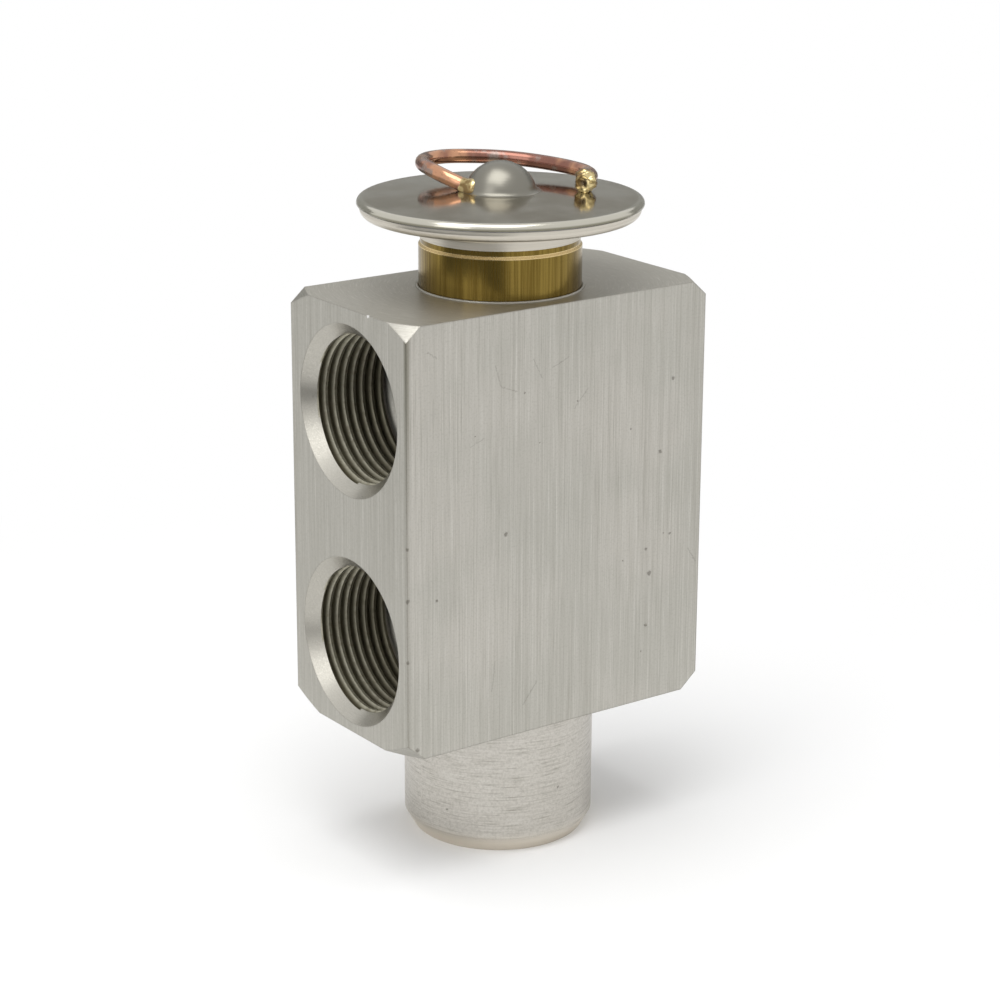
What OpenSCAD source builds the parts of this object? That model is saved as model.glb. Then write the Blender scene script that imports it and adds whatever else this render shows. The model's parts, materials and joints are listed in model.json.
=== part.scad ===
// Block expansion valve: an aluminium block with two threaded ports on each
// narrow end, a turned spigot below and a diaphragm power head above.
// Millimetres, +Z up. The origin is the centre of the spigot's bottom face,
// the ports run along X and the valve's own axis is Z.

/* [Block] */
// Length of the block, along the ports
block_len = 50; // [48:1:64]
// Width of the block, across the ports
block_w = 28; // [27:1:40]
// Height of the block above the upper ports' axis
top_margin = 14.1; // [13:0.1:20]
// How far the lathe's 45 degree cut comes in from the top corners
top_turn = 1.95; // [0.5:0.05:3]
// How far the same cut comes in from the bottom corners
bottom_turn = 2.3; // [0.5:0.05:3]

/* [Spigot] */
// Diameter of the turned spigot
spigot_d = 27; // [24:0.5:27.5]
// Length of the spigot below the block
spigot_len = 19; // [16:0.5:30]
// Width of the lead-in at the spigot's foot
spigot_lead = 1.3; // [0.5:0.1:1.6]
// Height of the lead-in at the spigot's foot
spigot_lead_h = 2.3; // [1:0.1:4]

/* [Ports] */
// Thread diameter of the four ports
port_d = 22; // [16:0.5:22.5]
// Width of the chamfer at each port's mouth
port_chamfer = 0.9; // [0.4:0.1:1.5]
// Depth of each threaded port
port_depth = 13; // [11:0.5:15]
// Depth of the drill's cone at the bottom of each port
drill_cone = 2; // [0.5:0.1:3]
// Height of the lower ports above the block's bottom face
lower_port_h = 13.2; // [12.5:0.1:16]
// Height between the lower and the upper ports
port_spacing = 32.7; // [31:0.1:40]
// Diameter of the open passage between the two upper ports
passage_d = 17; // [12:0.5:18]
// Diameter of the bore that brings liquid to the valve chamber
inlet_d = 10; // [6:0.5:11]
// Diameter of the bore that takes the sprayed liquid away
outlet_d = 7.6; // [5:0.2:9]

/* [Power head] */
// Diameter of the brass collar
collar_d = 22.4; // [21:0.1:23.5]
// Diameter of the collar's thread in the block
collar_thread_d = 20; // [18:0.5:20]
// Height of the collar above the block
collar_h = 6.9; // [4:0.1:12]
// Diameter of the bore through the collar
collar_bore_d = 15.2; // [12:0.2:16]
// Diameter of the upper cover at its rim
upper_cover_d = 39.2; // [37:0.2:46]
// Diameter of the lower cover
lower_cover_d = 38.4; // [36:0.2:39]
// Height from the collar to the seam between the covers
seam_h = 4.2; // [3.8:0.1:7]
// Thickness of the pressed upper cover
upper_sheet = 0.8; // [0.5:0.05:0.9]
// Thickness of the pressed lower cover
lower_sheet = 0.9; // [0.6:0.05:1.2]
// Thickness of the diaphragm
diaphragm_t = 0.15; // [0.1:0.05:0.3]
// Height of the upper cover's rim above the diaphragm
rim_h = 1; // [0.9:0.05:2]
// How much higher the upper cover stands at the dome than at its rim
cover_rise = 0.8; // [0.2:0.05:2]
// Radius of the dome pressed in the upper cover
dome_r = 5.1; // [4:0.1:6]
// How far the dome's centre lies below the cover that it rises from
dome_sink = 1.05; // [0.5:0.05:2]
// Thickness of the thrust plate under the diaphragm
thrust_t = 1.3; // [1:0.1:1.5]
// Height of the boss under the thrust plate
boss_h = 1.5; // [1:0.1:2]
// Width of that boss's wall round the rod
boss_w = 1.6; // [1:0.1:2]
// Diameter of the charging tube
tube_d = 2; // [1.4:0.1:2.4]

/* [Valve train] */
// Stroke of the valve from shut to wide open
stroke = 0.8; // [0.4:0.1:1]
// Diameter of the sensing rod
rod_d = 6; // [5:0.2:7]
// Diameter of the pin between the rod and the ball
pin_d = 2.4; // [1.6:0.1:2.8]
// How far the pin sits in the rod's end
pin_hold = 3; // [2:0.5:5]
// Radial depth of the gland round the rod's O-ring
gland_w = 1.8; // [1.5:0.1:2.2]
// Diameter of the ball
ball_d = 5.5; // [5:0.1:6]
// Diameter of the opening in the seat ring
orifice_d = 4.4; // [3.6:0.1:4.6]
// Thickness of the seat ring
seat_h = 2.6; // [1.6:0.1:3.4]
// Width of the seat ring's wall
seat_wall = 2.3; // [1.5:0.1:2.8]
// Diameter of the valve chamber
chamber_d = 15; // [14:0.5:16]
// Mean diameter of the superheat spring
spring_d = 10.4; // [9.8:0.1:11]
// Wire diameter of the superheat spring
wire_d = 1.5; // [0.8:0.1:1.6]
// Number of coils in the superheat spring
coils = 6; // [4:1:7]

/* [Adjusting screw] */
// Thread diameter of the adjusting screw
screw_d = 18; // [17:0.5:19]
// Length of the adjusting screw
screw_len = 6.5; // [5:0.5:7.5]
// Depth of the screw inside the spigot's foot
screw_recess = 2.5; // [2:0.5:3]
// Width across the flats of the screw's hexagon socket
socket_af = 6; // [4:0.5:8]
// Depth of the hexagon socket
socket_depth = 4; // [3:0.5:5]
// Depth of the groove for the screw's O-ring
screw_groove = 1.4; // [1:0.1:1.8]

/* [Hidden] */
$fn = 96;

// Clearances that every fit uses
slide_gap = 0.05;   // radial clearance of what slides or turns
seat_gap = 0.02;    // clearance of what is pressed, screwed or laid together
cut = 1;            // how far a cutting tool runs past the face that it opens

// Block and ports
block_z0 = spigot_len;
block_h = lower_port_h + port_spacing + top_margin;
block_z1 = spigot_len + block_h;
corner_r = norm([block_len, block_w]) / 2;
port_r = port_d / 2;
passage_r = passage_d / 2;
lower_z = block_z0 + lower_port_h;
upper_z = lower_z + port_spacing;
port_end = block_len / 2 - port_depth;

// Valve train, from the seat down
seat_z = lower_z - 0.5;
inlet_z = seat_z - inlet_d / 2 - 0.4;
seat_roof = 0.8;
outlet_z = seat_z + seat_h + seat_roof + outlet_d / 2;
ball_r = ball_d / 2;
orifice_r = orifice_d / 2;
seat_ring_r = orifice_r + seat_wall;
ball_z = seat_z - sqrt(ball_r * ball_r - orifice_r * orifice_r) - seat_gap;
chamber_r = chamber_d / 2;
carrier_drop = 4.6;
carrier_z = ball_z - carrier_drop;
carrier_flange_t = 1;
carrier_cup_r = ball_r + 1.45;
wire_r = wire_d / 2;
guide_r = spring_d / 2 - wire_r - 0.5;
guide_h = 2;

// Adjusting screw, from the spigot's foot up
screw_r = screw_d / 2;
screw_tip_h = 1;
screw_tip_r = 3;
screw_z1 = screw_recess + screw_len;
spring_seat_t = 1.5;
spring_z0 = screw_z1 + screw_tip_h + seat_gap + spring_seat_t;
chamber_z0 = spring_z0 + 1;
screw_groove_h = 2;
screw_groove_z = screw_z1 - 1 - screw_groove_h;

// Rod and its seal, from the outlet up
pin_r = pin_d / 2;
rod_r = rod_d / 2;
pin_guide_h = 3;
rod_floor = outlet_z + outlet_d / 2 + pin_guide_h;
rod_z0 = rod_floor + stroke + 0.4;
rod_z1 = block_z1 + collar_h + seam_h - 1;
gland_r = rod_r + gland_w;
gland_h = 3.4;
gland_z = upper_z - passage_r - gland_h;
seal_cord = gland_r - rod_r - slide_gap - seat_gap;

// Power head, from the block up
collar_r = collar_d / 2;
collar_ring_r = collar_r - 0.25;
collar_ring_h = 0.8;
counterbore_h = 2.2;
collar_thread_r = collar_thread_d / 2;
head_bore_z = upper_z + passage_r - 3;
collar_z0 = upper_z + passage_r - 1;
head_z = block_z1 + collar_h;
neck_r = collar_r - 0.1;
neck_in_r = neck_r - lower_sheet;
seam_z = head_z + seam_h;
lower_r = lower_cover_d / 2;
upper_r = upper_cover_d / 2;
clamp_w = 2.6;
clamp_r = lower_r - clamp_w;
rim_z0 = seam_z + diaphragm_t;
rim_z1 = rim_z0 + rim_h;
rim_round = 0.8;
plate_z = rim_z1 + cover_rise;
dome_z = plate_z - dome_sink;
dome_fillet = 0.9;
thrust_r = neck_in_r - 0.6;

// Route of the charging tube, measured from the cover's foot of the dome
tube_r = tube_d / 2;
TUBE = [[-3.7, 0.4, 0.25], [-4.6, 2.2, 0.85], [-5.7, 5.1, 1.75], [-5.9, 8.4, 2.35],
    [-4.9, 11.6, 2.5], [-2.5, 14.1, 2.45], [1.2, 14.9, 2.35], [4.8, 13.8, 2.2],
    [8.2, 11.9, 2.0], [10.8, 8.9, 1.8], [12.4, 5.3, 1.65], [13.3, 1.8, 1.5],
    [13.3, -1.6, 1.4], [12.1, -4.3, 1.3], [9.9, -6.1, 1.2]];
tip_r = tube_r + 0.5;

// Points of an arc about c, from angle a0 to a1
function arc(c, r, a0, a1, n = 8) =
    [for (i = [0 : n]) c + r * [cos(a0 + (a1 - a0) * i / n), sin(a0 + (a1 - a0) * i / n)]];

// Height of the upper cover's plate at a radius, and its slope's ends
plate_r0 = sqrt(pow(dome_r + dome_fillet, 2) - pow(dome_sink + dome_fillet, 2));
plate_r1 = upper_r - rim_round;
function plate_at(r) = plate_z - cover_rise * (r - plate_r0) / (plate_r1 - plate_r0);

// Points on a smooth curve through a list, with n steps between two of them
function spline_at(p, i, t) =
    let (a = p[max(i - 1, 0)], b = p[i], c = p[i + 1], d = p[min(i + 2, len(p) - 1)])
    0.5 * (2 * b + (c - a) * t + (2 * a - 5 * b + 4 * c - d) * t * t
        + (3 * b - a - 3 * c + d) * t * t * t);
function spline(p, n) =
    concat([for (i = [0 : len(p) - 2]) for (k = [0 : n - 1]) spline_at(p, i, k / n)],
        [p[len(p) - 1]]);
function unit(v) = v / norm(v);
function heading(p, i) = unit(p[min(i + 1, len(p) - 1)] - p[max(i - 1, 0)]);

// Ring of points about one point of a route, kept level by the Z axis
function ring(c, dir, r, sides) =
    let (side = unit(cross([0, 0, 1], dir)), up = cross(dir, side))
    [for (k = [0 : sides - 1]) c + r * (cos(360 * k / sides) * side + sin(360 * k / sides) * up)];

// A round wire or tube of sides faces along the route p
module sweep_round(p, r, sides, z_min = -1000, z_max = 1000) {
    n = len(p);
    rings = [for (i = [0 : n - 1]) for (q = ring(p[i], heading(p, i), r, sides))
        [q.x, q.y, min(max(q.z, z_min), z_max)]];
    walls = [for (i = [0 : n - 2]) for (k = [0 : sides - 1]) let (m = (k + 1) % sides)
        each [[i * sides + k, i * sides + m, (i + 1) * sides + m],
            [i * sides + k, (i + 1) * sides + m, (i + 1) * sides + k]]];
    first = [for (k = [0 : sides - 1]) sides - 1 - k];
    last = [for (k = [0 : sides - 1]) (n - 1) * sides + k];
    polyhedron(points = rings, faces = concat([for (f = walls) [f[2], f[1], f[0]]],
        [[for (k = [0 : sides - 1]) k]], [[for (k = [0 : sides - 1]) last[sides - 1 - k]]]));
}

// A cylinder along X from x0 to x1, at a height
module along_x(x0, x1, r, z) {
    translate([min(x0, x1), 0, z]) rotate([0, 90, 0]) cylinder(h = abs(x1 - x0), r = r);
}

// A cylinder along Z from z0 to z1
module along_z(z0, z1, r) {
    translate([0, 0, z0]) cylinder(h = z1 - z0, r = r);
}

// An O-ring about the Z axis, by its inner radius and its cord
module o_ring(inner_r, cord, z) {
    translate([0, 0, z]) rotate_extrude() translate([inner_r + cord / 2, 0]) circle(d = cord, $fn = 32);
}

// Threaded port with its chamfer, on the side sx of the block
module port_cut(sx, z) {
    face = block_len / 2;
    translate([0, 0, z]) rotate([0, 90 * sx, 0]) {
        translate([0, 0, port_end]) cylinder(h = port_depth + cut, r = port_r);
        translate([0, 0, port_end - drill_cone])
            cylinder(h = drill_cone, r1 = port_r - drill_cone * tan(59), r2 = port_r);
        translate([0, 0, face - port_chamfer])
            cylinder(h = port_chamfer + cut, r1 = port_r, r2 = port_r + port_chamfer + cut);
    }
}

// Block with its corners turned off at 45 degrees, and the spigot below it
module turned_blank() {
    intersection() {
        translate([-block_len / 2, -block_w / 2, block_z0]) cube([block_len, block_w, block_h]);
        rotate_extrude() polygon([[0, block_z0], [corner_r - bottom_turn, block_z0],
            [corner_r + cut, block_z0 + bottom_turn + cut],
            [corner_r + cut, block_z1 - top_turn - cut],
            [corner_r - top_turn, block_z1], [0, block_z1]]);
    }
    rotate_extrude() polygon([[0, 0], [spigot_d / 2 - spigot_lead, 0],
        [spigot_d / 2, spigot_lead_h], [spigot_d / 2, block_z0 + cut], [0, block_z0 + cut]]);
}

module valve_body() color([0.68, 0.69, 0.66]) difference() {
    turned_blank();
    for (sx = [-1, 1], z = [lower_z, upper_z]) port_cut(sx, z);
    along_x(-port_end - cut, port_end + cut, passage_r, upper_z);
    along_x(-port_end - cut, 0, inlet_d / 2, inlet_z);
    along_x(port_end + cut, 0, outlet_d / 2, outlet_z);
    // Head: counterbore with a broken edge, and the thread's bore to the passage
    along_z(block_z1 - counterbore_h, block_z1 + cut, collar_r + slide_gap);
    along_z(head_bore_z, block_z1, collar_thread_r + seat_gap);
    translate([0, 0, block_z1 - 0.35])
        cylinder(h = 0.35 + cut, r1 = collar_r + slide_gap, r2 = collar_r + slide_gap + 0.35 + cut);
    // Valve chamber, and the adjusting screw's bore below it
    along_z(chamber_z0 - cut, seat_z, chamber_r);
    along_z(-cut, chamber_z0, screw_r + slide_gap);
    translate([0, 0, -cut])
        cylinder(h = 0.8 + cut, r1 = screw_r + slide_gap + 0.8 + cut, r2 = screw_r + slide_gap);
    // Seat ring's pocket and the opening above it
    along_z(seat_z - cut, seat_z + seat_h + seat_gap, seat_ring_r + seat_gap);
    along_z(seat_z, outlet_z + 1, orifice_r + 0.4);
    // Pin and rod bores, and the seal's gland at the passage
    along_z(outlet_z, rod_floor + cut, pin_r + slide_gap);
    along_z(rod_floor, upper_z, rod_r + slide_gap);
    along_z(gland_z, upper_z, gland_r);
}

module seat_ring() color([0.55, 0.56, 0.58]) difference() {
    along_z(seat_z, seat_z + seat_h, seat_ring_r);
    along_z(seat_z - cut, seat_z + seat_h + cut, orifice_r);
}

module valve_ball() color([0.75, 0.76, 0.78]) translate([0, 0, ball_z]) sphere(r = ball_r);

module ball_carrier() color([0.60, 0.61, 0.63]) difference() {
    union() {
        along_z(carrier_z - guide_h, carrier_z + cut / 2, guide_r);
        along_z(carrier_z, carrier_z + carrier_flange_t, spring_d / 2 + wire_r + 0.35);
        along_z(carrier_z + cut / 2, ball_z - 0.8, carrier_cup_r);
    }
    translate([0, 0, ball_z]) sphere(r = ball_r + seat_gap);
}

// Spring plate under the carrier's cup, with three legs that rub the chamber wall
module damping_spring() {
    leg_t = 0.3;
    z0 = carrier_z + carrier_flange_t + seat_gap;
    wall_r = chamber_r - slide_gap;
    leg_h = 4;
    leg_w = 28;
    color([0.72, 0.73, 0.75]) {
        difference() {
            along_z(z0, z0 + leg_t, spring_d / 2 + wire_r + 0.35);
            along_z(z0 - cut, z0 + leg_t + cut, carrier_cup_r + seat_gap);
        }
        for (a = [0, 120, 240]) rotate([0, 0, a - leg_w / 2]) rotate_extrude(angle = leg_w)
            polygon([[spring_d / 2 + wire_r, z0], [wall_r - leg_t, z0], [wall_r - leg_t, z0 - leg_h],
                [wall_r, z0 - leg_h], [wall_r, z0 + leg_t], [spring_d / 2 + wire_r, z0 + leg_t]]);
    }
}

// Coil with closed, ground ends, between the spring seat and the carrier
module superheat_spring() {
    steps = 22;
    end_rise = wire_d * 1.05;
    ground = wire_r * 0.45;
    z1 = carrier_z;
    pitch = (z1 - spring_z0 - 2 * ground - 2 * end_rise) / (coils - 2);
    function rise(t) = end_rise * min(t, 1) + pitch * min(max(t - 1, 0), coils - 2)
        + end_rise * max(t - coils + 1, 0);
    wire = [for (i = [0 : steps * coils]) let (t = i / steps)
        [spring_d / 2 * cos(360 * t), spring_d / 2 * sin(360 * t), spring_z0 + ground + rise(t)]];
    color([0.45, 0.46, 0.48]) sweep_round(wire, wire_r, 10, spring_z0, z1);
}

module spring_seat() color([0.60, 0.61, 0.63]) difference() {
    union() {
        along_z(spring_z0 - spring_seat_t, spring_z0, spring_d / 2 + wire_r + 0.6);
        along_z(spring_z0 - cut / 2, spring_z0 + guide_h, guide_r);
    }
    // Drilled through, so that liquid doesn't lock the screw
    along_z(spring_z0 - spring_seat_t - cut, spring_z0 + guide_h + cut, guide_r / 3);
}

module adjusting_screw() color([0.62, 0.63, 0.64]) difference() {
    union() {
        along_z(screw_recess, screw_z1, screw_r);
        along_z(screw_z1 - cut, screw_z1 + screw_tip_h, screw_tip_r);
    }
    translate([0, 0, screw_groove_z]) difference() {
        cylinder(h = screw_groove_h, r = screw_r + cut);
        translate([0, 0, -cut]) cylinder(h = screw_groove_h + 2 * cut, r = screw_r - screw_groove);
    }
    translate([0, 0, screw_recess - cut])
        cylinder(h = 0.7 + cut, r1 = socket_af / 2 + 1.4 + cut, r2 = socket_af / 2 + 0.5);
    translate([0, 0, screw_recess - cut])
        cylinder(h = socket_depth + cut, r = socket_af / 2 / cos(30), $fn = 6);
}

module screw_seal() color([0.12, 0.12, 0.12])
    o_ring(screw_r - screw_groove + seat_gap, screw_groove + slide_gap - 2 * seat_gap, screw_groove_z + screw_groove_h / 2);

module push_pin() color([0.75, 0.76, 0.78])
    along_z(ball_z + ball_r + seat_gap, rod_z0 + pin_hold, pin_r);

module sensing_rod() color([0.80, 0.81, 0.82]) difference() {
    along_z(rod_z0, rod_z1, rod_r);
    along_z(rod_z0 - cut, rod_z0 + pin_hold + seat_gap, pin_r + seat_gap);
}

module rod_seal() color([0.12, 0.12, 0.12])
    o_ring(rod_r + slide_gap, seal_cord, gland_z + seal_cord / 2 + seat_gap);

// Toothed washer pressed into the gland to hold the seal down
module seal_retainer() {
    z0 = gland_z + seal_cord + 3 * seat_gap;
    teeth = 8;
    color([0.70, 0.71, 0.73]) difference() {
        along_z(z0, z0 + 0.6, gland_r - seat_gap);
        along_z(z0 - cut, z0 + 1 + cut, rod_r + 3 * slide_gap);
        for (i = [0 : teeth - 1]) rotate([0, 0, 360 * i / teeth])
            translate([gland_r, 0, z0 - cut]) cylinder(h = 3 * cut, r = 0.5, $fn = 24);
    }
}

module brass_collar() color([0.55, 0.44, 0.20]) rotate_extrude() polygon([
    [collar_bore_d / 2, collar_z0], [collar_thread_r - 0.6, collar_z0],
    [collar_thread_r, collar_z0 + 0.6], [collar_thread_r, block_z1 - counterbore_h - 0.3],
    [collar_thread_r - 0.3, block_z1 - counterbore_h], [collar_thread_r - 0.3, block_z1 - 0.35],
    [collar_r, block_z1 - 0.35], [collar_r, head_z - collar_ring_h - 0.3],
    [collar_ring_r, head_z - collar_ring_h], [collar_ring_r, head_z],
    [neck_in_r - seat_gap, head_z], [neck_in_r - seat_gap, head_z + 1.1],
    [neck_in_r - 0.3 - seat_gap, head_z + 1.4], [collar_bore_d / 2, head_z + 1.4]]);

module collar_seal() color([0.12, 0.12, 0.12])
    o_ring(collar_thread_r - 0.3 + seat_gap, collar_r + slide_gap - collar_thread_r + 0.3 - 2 * seat_gap,
        block_z1 - 0.35 - (counterbore_h - 0.35) / 2);

// Pressed cup: a neck on the collar, a shallow cone and a rounded edge
module lower_cover() {
    edge_round = 1.2;
    cone_r0 = neck_r + 0.8;
    cone_z0 = head_z + 1.7;
    cone_z1 = seam_z - 0.25 - edge_round;
    cone_r1 = lower_r - edge_round;
    slope = (cone_z1 - cone_z0) / (cone_r1 - cone_r0);
    color([0.72, 0.71, 0.66]) rotate_extrude() polygon(concat(
        [[neck_in_r, head_z], [neck_r, head_z]],
        arc([cone_r0, head_z + 0.9], 0.8, 180, 90, 6),
        [[cone_r1, cone_z1]],
        arc([cone_r1, cone_z1 + edge_round], edge_round, -84, 0, 8),
        [[lower_r, seam_z], [clamp_r, seam_z],
            [clamp_r - 0.5, cone_z1 + lower_sheet - 0.5 * slope],
            [neck_in_r + 0.5, cone_z0 + lower_sheet], [neck_in_r, cone_z0 + lower_sheet - 0.4]]));
}

// Thin disc with three pressed waves, clamped at its edge between the covers
module diaphragm() {
    flat_r = thrust_r + 0.3;
    wave_r = clamp_r - 0.6;
    waves = 3;
    steps = 36;
    dip = 0.25;
    function wave(i) = -dip * (1 - cos(360 * waves * i / steps)) / 2;
    function wave_x(i) = flat_r + (wave_r - flat_r) * i / steps;
    color([0.75, 0.75, 0.76]) rotate_extrude() polygon(concat(
        [[0, seam_z]], [for (i = [0 : steps]) [wave_x(i), seam_z + wave(i)]],
        [[lower_r - 0.2, seam_z], [lower_r - 0.2, rim_z0]],
        [for (i = [steps : -1 : 0]) [wave_x(i), rim_z0 + wave(i)]], [[0, rim_z0]]));
}

module thrust_plate() color([0.66, 0.67, 0.69]) difference() {
    union() {
        along_z(seam_z - seat_gap - thrust_t, seam_z - seat_gap, thrust_r);
        along_z(seam_z - thrust_t - boss_h, seam_z - thrust_t, rod_r + boss_w);
    }
    along_z(seam_z - thrust_t - boss_h - cut, rod_z1 + seat_gap, rod_r + seat_gap);
}

// Outside of the upper cover from its dome down to a radius, g outside of the sheet
foot_a = asin((dome_sink + dome_fillet) / (dome_r + dome_fillet));
function dome_line(g = 0) = concat(arc([0, dome_z], dome_r + g, 90, foot_a, 16),
    arc([plate_r0, plate_z + dome_fillet], dome_fillet - g, 180 + foot_a, 270, 6));

// Pressed cover: dome, foot fillet, shallow cone and rolled rim
module upper_cover() {
    inner_r = dome_r - upper_sheet;
    inner_a = asin((dome_sink - upper_sheet) / inner_r);
    hold_r = clamp_r - 0.4;
    color([0.72, 0.71, 0.67]) difference() {
        rotate_extrude() polygon(concat(
            dome_line(),
            arc([plate_r1, rim_z1 - rim_round], rim_round, 90, 0, 8),
            arc([upper_r - 0.2, rim_z0 + 0.2], 0.2, 0, -90, 3),
            [[clamp_r, rim_z0], [hold_r, plate_at(hold_r) - upper_sheet],
                [plate_r0 + 0.3, plate_at(plate_r0 + 0.3) - upper_sheet]],
            arc([0, dome_z], inner_r, inner_a, 90, 14)));
        tube_entry(cut * 3, tube_r + seat_gap);
    }
}

// Straight start of the tube's route, where it goes through the dome
tube_in = TUBE[0] + [0, 0, plate_z];
tube_way = unit(TUBE[1] - TUBE[0]);
module tube_entry(h, r1, r2 = 0) {
    translate(tube_in) rotate([0, acos(tube_way.z), atan2(tube_way.y, tube_way.x)])
        translate([0, 0, -cut / 2]) cylinder(h = h, r1 = r1, r2 = r2 > 0 ? r2 : r1);
}

module charging_tube() color([0.62, 0.40, 0.30])
    sweep_round(spline([for (p = TUBE) p + [0, 0, plate_z]], 4), tube_r, 16);

// Fillet of filler metal round the tube's foot
module tube_braze() color([0.80, 0.70, 0.42]) difference() {
    tube_entry(3.1, tube_r + 1.3, tube_r + 0.15);
    rotate_extrude() polygon(concat([[0, dome_z - dome_r]], [[0, dome_z + dome_r + seat_gap]],
        dome_line(seat_gap), [[upper_r, plate_z + seat_gap], [upper_r, dome_z - dome_r]]));
    tube_entry(5, tube_r + seat_gap);
}

// Blob of solder that seals the cut end, with its sunken middle
module tube_tip() {
    last = len(TUBE) - 1;
    way = unit(TUBE[last] - TUBE[last - 1]);
    color([0.66, 0.58, 0.38]) translate(TUBE[last] + [0, 0, plate_z])
        rotate([0, acos(way.z), atan2(way.y, way.x)]) difference() {
            sphere(r = tip_r);
            translate([0, 0, -tip_r - cut])
                cylinder(h = tip_r + cut + slide_gap, r1 = tube_r + 0.35, r2 = tube_r + slide_gap);
            translate([0, 0, tip_r + 0.25]) sphere(r = 0.8);
        }
}

valve_body();
seat_ring();
valve_ball();
ball_carrier();
damping_spring();
superheat_spring();
spring_seat();
adjusting_screw();
screw_seal();
push_pin();
sensing_rod();
rod_seal();
seal_retainer();
brass_collar();
collar_seal();
lower_cover();
diaphragm();
thrust_plate();
upper_cover();
charging_tube();
tube_braze();
tube_tip();
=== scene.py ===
# %% [markdown]
# A block expansion valve, dressed for its portrait
#
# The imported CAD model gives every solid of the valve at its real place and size, in metres,
# with Z up and the foot of the spigot on the floor. This lesson gives those solids their
# metal finishes, adds what is finer than the CAD model, such as screw threads, the bent
# copper tube and its drops of filler metal, and sets up the studio that the valve stands in.

import json
import math
import bpy
import bmesh
from mathutils import Matrix, Vector, noise


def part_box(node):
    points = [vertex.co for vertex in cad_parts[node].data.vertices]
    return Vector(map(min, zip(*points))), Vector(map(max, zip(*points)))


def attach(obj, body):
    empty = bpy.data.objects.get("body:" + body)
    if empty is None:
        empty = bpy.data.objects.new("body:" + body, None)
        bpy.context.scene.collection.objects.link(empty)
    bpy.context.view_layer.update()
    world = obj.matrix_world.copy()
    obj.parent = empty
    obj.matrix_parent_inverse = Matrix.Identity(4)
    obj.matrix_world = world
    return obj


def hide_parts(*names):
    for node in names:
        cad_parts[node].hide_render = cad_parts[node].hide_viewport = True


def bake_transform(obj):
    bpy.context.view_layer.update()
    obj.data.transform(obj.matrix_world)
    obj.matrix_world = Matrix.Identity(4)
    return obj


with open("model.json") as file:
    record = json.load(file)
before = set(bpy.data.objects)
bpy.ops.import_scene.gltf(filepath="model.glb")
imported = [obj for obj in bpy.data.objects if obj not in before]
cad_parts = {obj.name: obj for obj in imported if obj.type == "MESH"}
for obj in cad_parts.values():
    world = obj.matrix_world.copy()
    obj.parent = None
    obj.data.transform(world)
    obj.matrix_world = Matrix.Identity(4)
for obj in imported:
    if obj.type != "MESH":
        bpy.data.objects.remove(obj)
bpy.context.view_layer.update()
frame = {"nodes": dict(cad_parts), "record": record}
nodes = frame["nodes"]
block_low, block_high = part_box("valve_body")
MM = 0.001
print("CAD nodes:", len(nodes))

# %% [markdown]
# The camera stands where the photographer's did. Its direction, distance and lens were fitted
# to the block's corners, the ports, the collar, the covers and the spigot, so it needs no
# target object: one matrix turns it about Z, tilts it down and rolls it by a hair.

# %% Camera
SENSOR = 36.0
FRAME_PIXELS = 1000
FOCAL_PIXELS = 2687.24
CAMERA_PLACE = (-211.17, -291.64, 160.59)
TURN = -35.927
TILT = 17.358
ROLL = 0.271


def add_object(name, data):
    """An object that holds data, linked to the scene."""
    obj = bpy.data.objects.new(name, data)
    bpy.context.scene.collection.objects.link(obj)
    return obj


camera_data = bpy.data.cameras.new("valve_camera")
camera_data.sensor_width = SENSOR
camera_data.lens = FOCAL_PIXELS / FRAME_PIXELS * SENSOR
camera_data.clip_start = 0.01
camera = add_object("valve_camera", camera_data)
camera.matrix_world = (
    Matrix.Translation(Vector(CAMERA_PLACE) * MM)
    @ Matrix.Rotation(math.radians(TURN), 4, "Z")
    @ Matrix.Rotation(math.radians(90 - TILT), 4, "X")
    @ Matrix.Rotation(math.radians(ROLL), 4, "Z")
)
bpy.context.scene.camera = camera
print("Lens:", round(camera_data.lens, 2), "mm")

# %% [markdown]
# A light or a finish in Blender is a tree of nodes. These helpers place one node each, fill
# its inputs with plain values or with other nodes' outputs, and hand back the output that is
# needed, so that a finish can be read from top to bottom as a list of steps.

# %% Node helpers
def feed(tree, node, inputs):
    """Fills a node's inputs with values or other nodes' outputs; _0 means socket 0."""
    for label, value in inputs.items():
        key = int(label[1:]) if label[0] == "_" else label.replace("_", " ")
        if isinstance(value, bpy.types.NodeSocket):
            tree.links.new(value, node.inputs[key])
        else:
            node.inputs[key].default_value = value
    return node


def put(tree, kind, operation=None, **inputs):
    """Places a node, sets its operation and fills its inputs."""
    node = tree.nodes.new(kind)
    if operation is not None:
        node.operation = operation
    return feed(tree, node, inputs)


def maths(tree, operation, *terms):
    """The result of a Math node on one or two terms."""
    return put(tree, "ShaderNodeMath", operation, **{f"_{i}": x for i, x in enumerate(terms)}).outputs[0]


def vectors(tree, operation, *terms):
    """The result of a Vector Math node on one to three terms: a number or a vector."""
    node = put(tree, "ShaderNodeVectorMath", operation, **{f"_{i}": x for i, x in enumerate(terms)})
    return node.outputs["Value" if operation in ("LENGTH", "DISTANCE", "DOT_PRODUCT") else "Vector"]


def ramp(tree, value, low, high, to_low=0.0, to_high=1.0):
    """A smooth step of value from low to high."""
    node = put(tree, "ShaderNodeMapRange", Value=value)
    node.interpolation_type = "SMOOTHSTEP"
    node.inputs["From Min"].default_value = low
    node.inputs["From Max"].default_value = high
    node.inputs["To Min"].default_value = to_low
    node.inputs["To Max"].default_value = to_high
    return node.outputs["Result"]


def between(tree, factor, first, second):
    """The number that lies factor of the way from first to second."""
    return put(tree, "ShaderNodeMix", _0=factor, _2=first, _3=second).outputs[0]


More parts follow.
